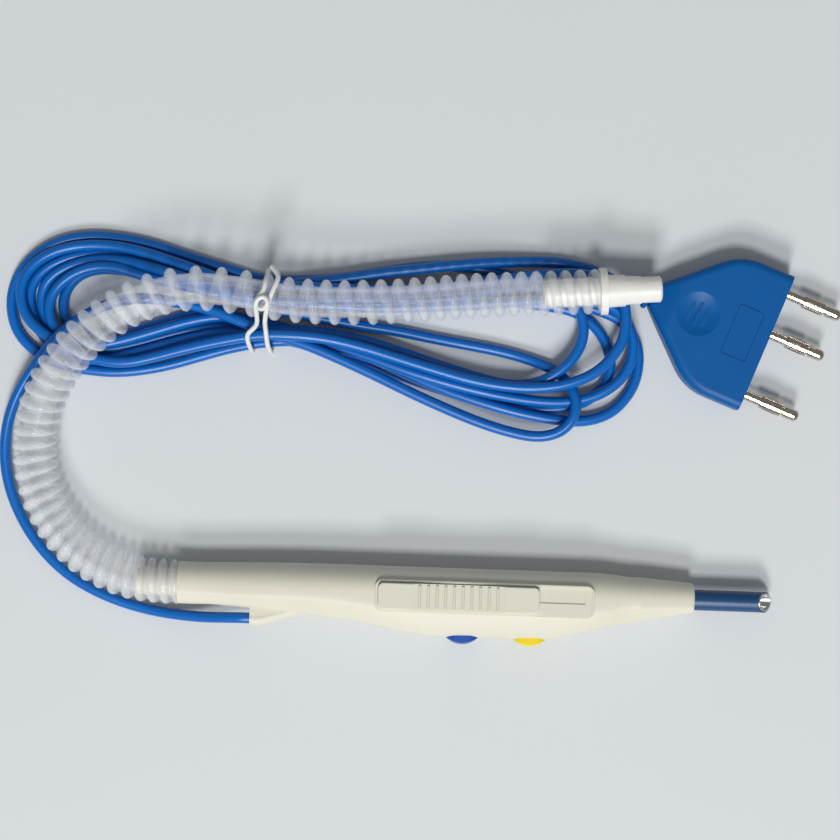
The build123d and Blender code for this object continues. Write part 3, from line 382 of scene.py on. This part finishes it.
# Nylon, natural: a dull and slightly warm white
NATURAL_NYLON = Finish("moulded_natural_nylon", "#E6E4DC", "#DEDBD0", 0.48, ior=1.53, relief_mm=0.01)
# ABS with a polished mould: tight highlights
BLUE_BUTTON = Finish("polished_blue_abs", "#1550AC", "#124AA0", 0.24, ior=1.54, relief_mm=0.004)
YELLOW_BUTTON = Finish("polished_yellow_abs", "#F0D718", "#E8CE10", 0.24, ior=1.54, relief_mm=0.004)
# Heat-shrunk polyolefin: dark blue and silky, faintly uneven over the steel
BLUE_SHRINK = Finish("shrunk_blue_polyolefin", "#154878", "#12406C", 0.36, ior=1.5, patch_mm=6, grain_mm=0.8,
                     relief_mm=0.012)
# Drawn stainless steel: bright, with a faint grain that breaks up its highlights
DRAWN_STEEL = Finish("drawn_stainless_steel", "#C9C9C7", "#B9B9B8", 0.26, metallic=1.0, grain_mm=0.25,
                     relief_mm=0.004)
# PTFE, extruded: a soft and waxy white
WHITE_PTFE = Finish("extruded_white_ptfe", "#EDEDEA", "#E4E4E0", 0.42, ior=1.38)
# Brass strip, rolled: bright and yellow
ROLLED_BRASS = Finish("rolled_brass", "#C8A45A", "#BD9850", 0.30, metallic=1.0)
# Glass laminate under a green coat: smooth, with a low gloss
GREEN_LAMINATE = Finish("coated_glass_laminate", "#2C7040", "#276638", 0.34, ior=1.55)
# PVC extruded over the conductors: plain colours with a satin skin
WHITE_WIRE = Finish("extruded_white_wire", "#E8E8E4", "#DEDED8", 0.42)
YELLOW_WIRE = Finish("extruded_yellow_wire", "#E2C930", "#D8BE28", 0.42)
BLUE_WIRE = Finish("extruded_blue_wire", "#2458A8", "#1F509C", 0.42)
# Clear plasticised PVC: glassy beads, slightly milky
CLEAR_PVC = Finish("clear_corrugated_pvc", "#FDFDFD", "#F4F7F8", 0.13, spread=0.03, ior=1.56, patch_mm=7,
                   grain_mm=2.4, relief_mm=0.006, transmission=0.1,
                   film=ClearFilm(wall=0.04, bead=0.22, rim=0.34, attribute=BEAD_HEIGHT))
# Polypropylene: waxy white
WHITE_PP = Finish("moulded_white_polypropylene", "#E6E5E0", "#DFDDD6", 0.36, ior=1.49, patch_mm=8,
                  relief_mm=0.008, subsurface=0.15)
# Soft PVC, satin: the cable is extruded, the plug is moulded over it
CABLE_PVC = Finish("extruded_blue_pvc", "#0064B8", "#005CAC", 0.30, ior=1.42, patch_mm=12, grain_mm=0.6,
                   relief_mm=0.004)
PLUG_PVC = Finish("moulded_blue_pvc", "#00589E", "#005294", 0.40, ior=1.3, patch_mm=10, grain_mm=0.5,
                  relief_mm=0.014)
# Nickel plate on turned brass: mirror bright and a little warm
NICKEL = Finish("nickel_plated_brass", "#C9BFB2", "#B9AE9F", 0.13, spread=0.04, metallic=1.0, grain_mm=0.3,
                relief_mm=0.003)
# Wire in a soft plastic coat: an even white with no gloss
TIE_COAT = Finish("coated_tie_wire", "#E2E2DF", "#D8D8D4", 0.42, ior=1.5, relief_mm=0.01, subsurface=0.2)
# Matt paint, almost even
TABLE_PAINT = Finish("painted_table_top", "#D2D5D7", "#CFD3D5", 0.6, patch_mm=120, grain_mm=0.8,
                     relief_mm=0.004)

NODE_FINISHES: dict[Finish, tuple[str, ...]] = {
    IVORY_ABS: ("handle_shell_front", "handle_shell_back", "nose_cone", "hose_spigot", "thumb_slider"),
    NATURAL_NYLON: ("electrode_carriage",),
    BLUE_BUTTON: ("button_coag",),
    YELLOW_BUTTON: ("button_cut",),
    BLUE_SHRINK: ("tube_insulation",),
    DRAWN_STEEL: ("suction_tube", "electrode_blade", "snap_dome_cut", "snap_dome_coag"),
    WHITE_PTFE: ("electrode_sleeve",),
    ROLLED_BRASS: ("contact_leaf", "contact_strip"),
    GREEN_LAMINATE: ("switch_board",),
    WHITE_WIRE: ("conductor_active",),
    YELLOW_WIRE: ("conductor_cut",),
    BLUE_WIRE: ("conductor_coag",),
    WHITE_PP: ("hose_connector",),
    PLUG_PVC: ("plug_body",),
    NICKEL: ("plug_pin_1", "plug_pin_2", "plug_pin_3", "pin_spring_1", "pin_spring_2", "pin_spring_3"),
}


def dress(obj: bpy.types.Object, finish: Finish) -> None:
    """Give a mesh or curve object one finish all over."""
    obj.data.materials.clear()
    obj.data.materials.append(finish.build())


def nurbs_route(name: str, points: tuple[Point, ...] | list[Point], resolution: int) -> bpy.types.Object:
    """Lay a smooth NURBS line with a route's points as its control points.

    Args:
        name: Name of the object.
        points: Control points in millimetres.
        resolution: Steps between two control points.

    Returns:
        The curve object, with no thickness.
    """
    data = bpy.data.curves.new(name, "CURVE")
    data.dimensions = "3D"
    data.resolution_u = resolution
    spline = data.splines.new("NURBS")
    spline.points.add(len(points) - 1)
    for knot, (x, y, z) in zip(spline.points, points):
        knot.co = (x * MM, y * MM, z * MM, 1.0)
    spline.order_u = ROUTE_ORDER
    spline.use_endpoint_u = True
    obj = bpy.data.objects.new(name, data)
    bpy.context.scene.collection.objects.link(obj)
    return obj


def round_wire(name: str, points: tuple[Point, ...] | list[Point], radius: float,
               resolution: int) -> bpy.types.Object:
    """Lay a round wire with closed ends along a route.

    Args:
        name: Name of the object.
        points: Control points in millimetres.
        radius: Radius in millimetres.
        resolution: Steps between two control points.

    Returns:
        The curve object.
    """
    wire = nurbs_route(name, points, resolution)
    wire.data.bevel_depth = radius * MM
    wire.data.bevel_resolution = WIRE_ROUNDNESS
    wire.data.use_fill_caps = True
    return wire


def line_of(route: bpy.types.Object) -> list[Vector]:
    """Read the points of a route's line, and take the route away.

    Args:
        route: Curve object with no thickness.

    Returns:
        Points along the line in metres.
    """
    mesh = bpy.data.meshes.new_from_object(route)
    points = [v.co.copy() for v in mesh.vertices]
    bpy.data.meshes.remove(mesh)
    curve = route.data
    bpy.data.objects.remove(route)
    bpy.data.curves.remove(curve)
    return points


def evenly(points: list[Vector], step: float) -> list[Vector]:
    """Walk along a line in equal steps.

    Args:
        points: Points of the line.
        step: Wanted step in metres, which is fitted to the line's length.

    Returns:
        Points a step apart, the first and the last ones included.
    """
    runs = [(b - a).length for a, b in zip(points, points[1:])]
    count = max(2, round(sum(runs) / step))
    pace = sum(runs) / count
    walked = [points[0].copy()]
    done = 0.0
    for a, b, run in zip(points, points[1:], runs):
        while len(walked) < count and done + run >= pace * len(walked) - ROUNDING:
            walked.append(a.lerp(b, (pace * len(walked) - done) / run))
        done += run
    walked.append(points[-1].copy())
    return walked


def carried_frames(points: list[Vector]) -> list[tuple[Vector, Vector]]:
    """Carry a pair of cross directions along a line without twisting them.

    Args:
        points: Points of the line.

    Returns:
        Two unit vectors square to the line at each point.
    """
    ends = [points[0] * 2 - points[1], *points, points[-1] * 2 - points[-2]]
    tangents = [(after - before).normalized() for before, after in zip(ends, ends[2:])]
    side = Vector((0, 0, 1)).cross(tangents[0]).normalized()
    frames = []
    for tangent in tangents:
        side = (side - tangent * side.dot(tangent)).normalized()
        frames.append((side, tangent.cross(side)))
    return frames


def mesh_object(name: str, vertices: list[Vector], faces: list[tuple[int, ...]]) -> bpy.types.Object:
    """Make a smooth mesh object whose place is in its mesh.

    Args:
        name: Name of the object.
        vertices: Places in metres.
        faces: Corners of each face.

    Returns:
        The linked object.
    """
    mesh = bpy.data.meshes.new(name)
    mesh.from_pydata(vertices, [], faces)
    mesh.update()
    mesh.shade_smooth()
    obj = bpy.data.objects.new(name, mesh)
    bpy.context.scene.collection.objects.link(obj)
    return obj


@dataclass
class SmokeHose:
    """Clear hose: a thin tube with one round bead wound round it as a helix.

    Attributes:
        route: Control points from the handle's rear face to the connector's flange, in millimetres.
        pitches: Bead spacing at shares of the length: close in the bend, pulled open past it.
        outer_r: Radius over the bead.
        core_r: Radius of the tube between the turns of the bead.
        bore_r: Inner radius.
        bead_half: Half width of the bead.
        bead_power: Roundness of the bead: a half is an ellipse, and less has steeper flanks.
        step: Spacing of the rings.
        sides: Corners of a ring.
        resolution: Steps between two control points of the route.
    """

    route: tuple[Point, ...] = (
        (-80.6, 4.2, 6.9), (-91.5, 4.2, 6.9), (-102.9, 7.8, 6.8), (-112.6, 14.7, 6.6), (-119.7, 24.3, 6.6),
        (-123.5, 35.6, 6.8), (-123.7, 48.0, 8.2), (-119.8, 59.8, 11.2), (-112.8, 70.4, 14.4),
        (-103.4, 79.6, 16.4), (-92.2, 86.2, 16.8), (-79.6, 89.4, 16.8), (-66.4, 88.8, 16.6),
        (-53.4, 86.8, 16.2), (-38.0, 86.3, 15.2), (-19.0, 87.5, 14.2), (1.0, 90.0, 13.8),
        (22.24, 91.23, 13.9), (38.15, 92.4, 13.9),
    )
    pitches: tuple[tuple[float, float], ...] = (
        (0.0, 3.4), (0.04, 3.5), (0.08, 3.9), (0.40, 4.1), (0.46, 4.8), (0.52, 6.6), (0.57, 7.0),
        (0.63, 6.2), (0.67, 5.4), (0.73, 5.4), (0.80, 4.6), (0.86, 4.25), (1.0, 4.2),
    )
    outer_r: float = 6.5
    core_r: float = 4.4
    bore_r: float = 4.0
    bead_half: float = 1.5
    bead_power: float = 0.45
    step: float = 0.25
    sides: int = 36
    resolution: int = 24

    def pitch_at(self, share: float) -> float:
        """Read the bead's spacing from the table.

        Args:
            share: Share of the hose's length.

        Returns:
            Spacing in millimetres.
        """
        for (s0, p0), (s1, p1) in zip(self.pitches, self.pitches[1:]):
            if share <= s1:
                return p0 + (p1 - p0) * (share - s0) / (s1 - s0)
        return self.pitches[-1][1]

    def bead(self, offset: float) -> float:
        """Work out the bead's height beside its middle line.

        Args:
            offset: Distance from the middle line in millimetres.

        Returns:
            Share of the bead's full height.
        """
        if abs(offset) >= self.bead_half:
            return 0.0
        return (1 - (offset / self.bead_half) ** 2) ** self.bead_power

    def bead_heights(self, line: list[Vector]) -> list[list[float]]:
        """Wind the bead round the hose.

        Args:
            line: Middle line in equal steps, in metres.

        Returns:
            The share of the bead's full height at each corner, in a row for each ring.
        """
        pace = (line[1] - line[0]).length / MM
        turns = 0.0
        heights = []
        for i in range(len(line)):
            pitch = self.pitch_at(i / (len(line) - 1))
            turns += pace / pitch
            phases = [(turns - k / self.sides + 0.5) % 1.0 - 0.5 for k in range(self.sides)]
            heights.append([self.bead(phase * pitch) for phase in phases])
        return heights

    def ring(self, middle: Vector, frame: tuple[Vector, Vector], radii: list[float]) -> list[Vector]:
        """Place the corners of one ring.

        Args:
            middle: Middle of the ring in metres.
            frame: The two cross directions there.
            radii: Radius of each corner in millimetres.

        Returns:
            Places of the corners in metres.
        """
        side, up = frame
        corners = []
        for k, radius in enumerate(radii):
            angle = 2 * math.pi * k / self.sides
            corners.append(middle + (side * math.cos(angle) + up * math.sin(angle)) * (radius * MM))
        return corners

    def faces(self, rings: int) -> list[tuple[int, ...]]:
        """Join the rings of the outer and the inner wall, and close both ends.

        Args:
            rings: Number of rings of each wall.

        Returns:
            Corners of each face. Those of the inner wall are numbered after the outer ones.
        """
        inner = rings * self.sides
        last = (rings - 1) * self.sides
        faces = []
        for start in range(0, last, self.sides):
            for k in range(self.sides):
                a = start + k
                b = start + (k + 1) % self.sides
                faces.append((a, b, b + self.sides, a + self.sides))
                faces.append((inner + b, inner + a, inner + a + self.sides, inner + b + self.sides))
        for k in range(self.sides):
            n = (k + 1) % self.sides
            faces.append((n, k, inner + k, inner + n))
            faces.append((last + k, last + n, inner + last + n, inner + last + k))
        return faces

    def build(self, nodes: dict[str, bpy.types.Object]) -> bpy.types.Object:
        """Args:
            nodes: CAD nodes by name. Not used.

        Returns:
            The hose.
        """
        line = evenly(line_of(nurbs_route("hose_route", self.route, self.resolution)), self.step * MM)
        frames = carried_frames(line)
        heights = self.bead_heights(line)
        rise = self.outer_r - self.core_r
        vertices = []
        for middle, frame, row in zip(line, frames, heights):
            vertices += self.ring(middle, frame, [self.core_r + rise * height for height in row])
        for middle, frame in zip(line, frames):
            vertices += self.ring(middle, frame, [self.bore_r] * self.sides)
        hose = mesh_object("corrugated_hose", vertices, self.faces(len(line)))
        layer = hose.data.attributes.new(BEAD_HEIGHT, "FLOAT", "POINT")
        for i, height in enumerate(height for row in heights for height in row):
            layer.data[i].value = height
        dress(hose, CLEAR_PVC)
        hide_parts("smoke_hose")
        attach(hose, Body.HANDLE.value)
        return hose


@dataclass
class Cable:
    """Blue cable from the handle's boss, through the tied hank, to the plug.

    Attributes:
        stretches: Control points of each stretch in millimetres, in the cable's order.
        radius: Radius of the cable.
        exit: Mouth of the boss. Not used.
        length: Length from end to end in metres. Not used.
        resolution: Steps between two control points.
    """

    stretches: dict[str, tuple[Point, ...]] = field(default_factory=lambda: CABLE_STRETCHES)
    radius: float = 1.6
    exit: Point = (-59.5, -5.55, 6.9)
    length: float = 2.6
    resolution: int = 5

    def build(self, nodes: dict[str, bpy.types.Object], tie: bpy.types.Object) -> bpy.types.Object:
        """Args:
            nodes: CAD nodes by name. Not used.
            tie: Twist tie that holds the hank. Not used.

        Returns:
            The cable.
        """
        points = [p for stretch in self.stretches.values() for p in stretch]
        cable = round_wire("cable", points, self.radius, self.resolution)
        dress(cable, CABLE_PVC)
        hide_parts("cable_lead", "cable_hank", "cable_tail")
        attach(cable, Body.HANDLE.value)
        on_it = ["plug_body"]
        on_it += [f"{piece}_{i}" for piece in ("plug_pin", "pin_spring") for i in (1, 2, 3)]
        return cable


@dataclass
class TwistTie:
    """Coated wire round the hose and the hank, curled once round its own leg.

    Attributes:
        route: Control points from the free tip over the hose, under the hank, back over and down.
        radius: Radius over the coat.
        resolution: Steps between two control points.
    """

    route: tuple[Point, ...] = (
        (-55.7, 95.8, 20.2), (-54.4, 94.6, 21.6), (-53.4, 92.8, 23.2), (-54.0, 90.8, 24.2),
        (-55.0, 88.4, 24.6), (-56.0, 85.6, 24.2), (-56.8, 82.4, 22.4), (-57.3, 79.8, 18.4),
        (-57.3, 78.4, 14.6), (-57.1, 76.2, 13.0), (-56.8, 73.6, 11.0), (-56.2, 72.0, 6.4),
        (-56.2, 71.8, 1.4), (-57.0, 74.0, 0.8), (-57.4, 86.0, 0.8), (-57.5, 94.6, 0.8),
        (-57.5, 95.9, 2.4), (-57.3, 95.6, 10.0), (-57.0, 94.8, 16.5), (-56.7, 93.4, 21.0),
        (-57.0, 91.4, 24.0), (-57.4, 88.8, 24.6), (-58.6, 87.0, 24.6), (-59.9, 85.2, 24.2),
        (-58.8, 83.4, 24.2), (-56.9, 83.6, 25.2), (-55.9, 85.4, 25.8), (-57.2, 87.0, 25.8),
        (-59.0, 86.2, 25.6), (-59.7, 84.4, 24.6), (-59.4, 82.4, 22.8), (-59.4, 80.4, 18.6),
        (-59.9, 79.2, 15.4), (-61.2, 78.0, 13.6), (-62.6, 76.8, 12.8), (-62.6, 74.8, 11.6),
        (-61.9, 72.6, 7.2), (-61.8, 72.0, 1.6), (-61.4, 74.4, 0.8), (-60.6, 84.0, 0.8),
    )
    radius: float = 0.7
    resolution: int = 6

    def build(self) -> bpy.types.Object:
        """Make the tie and dress it.

        Returns:
            The tie.
        """
        tie = round_wire("tied_wire", self.route, self.radius, self.resolution)
        dress(tie, TIE_COAT)
        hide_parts("twist_tie")
        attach(tie, Body.HANDLE.value)
        return tie


@dataclass(frozen=True)
class Softbox:
    """Square soft lamp.

    Attributes:
        name: Name of the lamp.
        place: Where it hangs, in metres.
        size: Side of the square in metres.
        power: Watts.
    """

    name: str
    place: Point
    size: float
    power: float

    def hang(self, aim: Point) -> None:
        """Hang the lamp.

        Args:
            aim: Point that it faces, in metres.
        """
        light = bpy.data.lights.new(self.name, "AREA")
        light.size = self.size
        light.energy = self.power
        lamp = bpy.data.objects.new(self.name, light)
        lamp.location = self.place
        lamp.rotation_euler = (Vector(aim) - Vector(self.place)).to_track_quat("-Z", "Y").to_euler()
        bpy.context.scene.collection.objects.link(lamp)


@dataclass
class Studio:
    """Pale table, soft light from the front and a camera straight above.

    Attributes:
        table_size: Side of the table in metres.
        lamps: Soft lamps.
        aim: Point that the lamps face, in metres.
        room: Colour of the light from all round.
        room_strength: Strength of that light.
        eye: Camera's place in millimetres.
        roll: Turn of the picture in degrees.
        lens: Focal length in millimetres.
        sensor: Width of the sensor in millimetres.
    """

    table_size: float = 6.0
    lamps: tuple[Softbox, ...] = (
        Softbox("low_softbox", (-0.2, -3.1, 3.0), 1.0, 96.0),
        Softbox("high_softbox", (0.2, -1.85, 3.9), 0.8, 86.0),
    )
    aim: Point = (-0.01, 0.05, 0.0)
    room: str = "#DDE1E4"
    room_strength: float = 0.33
    eye: Point = (-12.08, 53.7, 600.0)
    roll: float = 2.0
    lens: float = 87.43
    sensor: float = 36.0

    def build(self) -> None:
        """Make the table, the light and the camera."""
        self.lay_table()
        for lamp in self.lamps:
            lamp.hang(self.aim)
        self.light_room()
        self.set_camera()
        bpy.context.scene.view_settings.view_transform = "Standard"

    def lay_table(self) -> None:
        """Lay the table top at the height of the frame's origin."""
        bpy.ops.object.select_all(action="DESELECT")
        bpy.ops.mesh.primitive_plane_add(size=self.table_size)
        floor = bpy.context.object
        floor.name = "table_top"
        dress(floor, TABLE_PAINT)

    def light_room(self) -> None:
        """Fill the room with an even light."""
        world = bpy.data.worlds.new("room")
        world.use_nodes = True
        bpy.context.scene.world = world
        fill_sockets(world.node_tree, world.node_tree.nodes["Background"], {
            "Color": linear(self.room), "Strength": self.room_strength})

    def set_camera(self) -> None:
        """Set up the camera and look through it."""
        eye = bpy.data.cameras.new("above")
        eye.lens = self.lens
        eye.sensor_width = self.sensor
        camera = bpy.data.objects.new("above", eye)
        camera.location = [v * MM for v in self.eye]
        camera.rotation_euler = (0.0, 0.0, math.radians(self.roll))
        bpy.context.scene.collection.objects.link(camera)
        bpy.context.scene.camera = camera


def main() -> None:
    """Build the pieces in order."""
    logging.basicConfig(level=logging.INFO, format="%(name)s: %(message)s")
    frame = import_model()
    nodes = frame["nodes"]
    for finish, names in NODE_FINISHES.items():
        for name in names:
            dress(nodes[name], finish)
            LOG.info("dressed %s in %s", name, finish.name)
    Studio().build()
    hose = SmokeHose().build(nodes)
    tie = TwistTie().build()
    cable = Cable().build(nodes, tie)
    for piece in (hose, tie, cable):
        LOG.info("built %s", piece.name)


if __name__ == "__main__":
    main()
